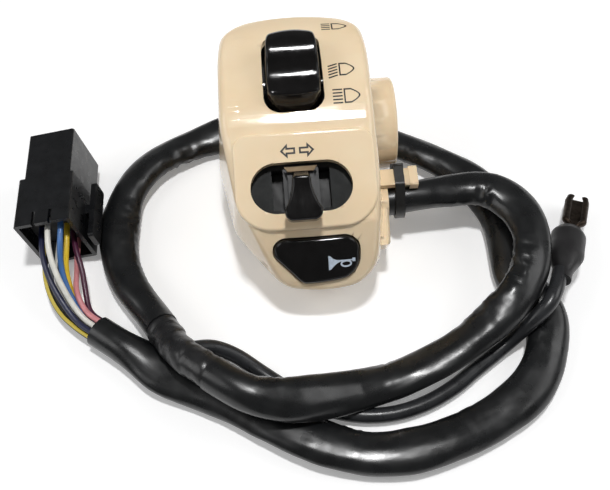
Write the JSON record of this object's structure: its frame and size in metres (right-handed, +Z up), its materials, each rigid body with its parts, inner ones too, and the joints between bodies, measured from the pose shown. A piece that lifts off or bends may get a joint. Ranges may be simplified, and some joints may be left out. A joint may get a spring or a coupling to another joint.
{
  "type": "handlebar switch cluster",
  "caption": "Left handlebar switch cluster with dimmer rocker, sliding turn switch, horn button, tied loom, plug and a booted branch terminal.",
  "frame": {"origin": "under the middle of the housing's bounding box, at the level of its lowest point, as the cluster lies on a table on the heel of its rear box", "axes": "+X along the handlebar, out of the collar side that the loom leaves by; +Y across the bar toward the rocker's raised end; +Z up from the table, with the switches on top"},
  "size_m": [0.1966, 0.1512, 0.0635],
  "materials": {
    "housing": "cream, finely grained",
    "black_switch": "black, low sheen",
    "black_frame": "black",
    "dark_screw": "dark",
    "steel": "bright",
    "board": "brown laminate",
    "contact_metal": "plain",
    "tie": "black",
    "sleeve": "soft black, slightly glossy",
    "tape": "black, glossy",
    "branch": "grey-black",
    "boot": "black",
    "terminal": "tarnished",
    "plug": "black",
    "wire_white": "white",
    "wire_blue": "blue",
    "wire_yellow": "yellow",
    "wire_purple": "purple",
    "wire_pink": "pink",
    "wire_offwhite": "off-white",
    "wire_dark": "black with a stripe",
    "wire_navy": "navy",
    "wire_grey": "grey"
  },
  "bodies": {
    "housing": {"front_shell": "housing", "rear_shell": "housing", "clamp_screws": "dark_screw", "rocker_pin": "steel", "dimmer_frame": "black_frame", "dimmer_contact_board": "board", "dimmer_detent_ball": "steel", "dimmer_detent_spring": "steel", "dimmer_screws": "steel", "turn_bezel": "black_frame", "turn_box": "black_frame", "turn_contact_board": "board", "turn_detent_ball": "steel", "turn_detent_spring": "steel", "turn_screws": "steel", "horn_base": "black_frame", "horn_contact": "contact_metal", "cable_tie": "tie", "housing_sleeve": "sleeve", "joint_tape": "tape", "plug_sleeve": "sleeve", "branch_sleeve": "branch", "branch_boot": "boot", "branch_terminal": "terminal", "plug_housing": "plug", "plug_retainer": "plug", "plug_terminals": "contact_metal", "wire_white": "wire_white", "wire_blue": "wire_blue", "wire_yellow": "wire_yellow", "wire_purple": "wire_purple", "wire_pink": "wire_pink", "wire_offwhite": "wire_offwhite", "wire_black_pale": "wire_dark", "wire_navy": "wire_navy", "wire_black_yellow": "wire_dark", "wire_grey": "wire_grey"},
    "dimmer": {"dimmer_rocker": "black_switch", "dimmer_wiper": "contact_metal"},
    "turn_slide": {"turn_carriage": "black_frame", "turn_wiper": "contact_metal"},
    "turn_push": {"turn_knob": "black_switch"},
    "horn": {"horn_button": "black_switch", "horn_spring": "steel", "horn_wiper": "contact_metal"}
  },
  "joints": [
    {"name": "dimmer_rock", "type": "hinge", "parent": "housing", "child": "dimmer", "pos_m": [-0.00625, 0.01485, 0.04597], "axis": [1, 0, 0], "range_deg": [-12, 0]},
    {"name": "turn_slide", "type": "slide", "parent": "housing", "child": "turn_slide", "axis": [1, 0, 0], "range_m": [-0.003, 0.003], "stiffness_N_per_m": 300},
    {"name": "turn_cancel", "type": "slide", "parent": "turn_slide", "child": "turn_push", "axis": [0, -0.4431, 0.8965], "range_m": [-0.0015, 0], "stiffness_N_per_m": 300, "springref_m": 0.0005},
    {"name": "horn_press", "type": "slide", "parent": "housing", "child": "horn", "axis": [0, -0.7986, 0.6018], "range_m": [-0.0018, 0], "stiffness_N_per_m": 600, "springref_m": 0.0005}
  ]
}
